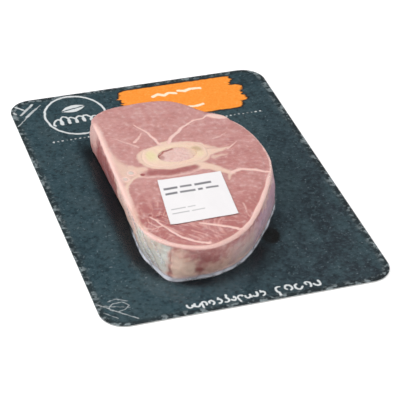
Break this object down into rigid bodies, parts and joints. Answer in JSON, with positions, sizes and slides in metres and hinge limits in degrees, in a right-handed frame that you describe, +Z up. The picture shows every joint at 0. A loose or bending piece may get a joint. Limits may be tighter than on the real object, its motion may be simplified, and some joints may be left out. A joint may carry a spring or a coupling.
{
  "type": "meat skin pack",
  "caption": "Shrink-film skin pack of raw meat: a bone-in shank slice under clear film on a flat printed card board, with a small paper label.",
  "frame": {"origin": "centre of the board's underside", "axes": "+Y towards the board's far short side, where the coloured print is; +Z up, away from the surface the pack lies on"},
  "size_m": [0.178, 0.25, 0.0237],
  "materials": {
    "board": "film-laminated card printed as slate, satin",
    "meat": "moist raw veal with pale seams and membrane",
    "bone": "sawn bone, moist",
    "marrow": "raw marrow, moist",
    "film": "clear glossy skin film",
    "label": "white label paper"
  },
  "bodies": {
    "root": {"board": "board", "meat": "meat", "bone": "bone", "marrow": "marrow", "film": "film", "label": "label"}
  },
  "joints": []
}
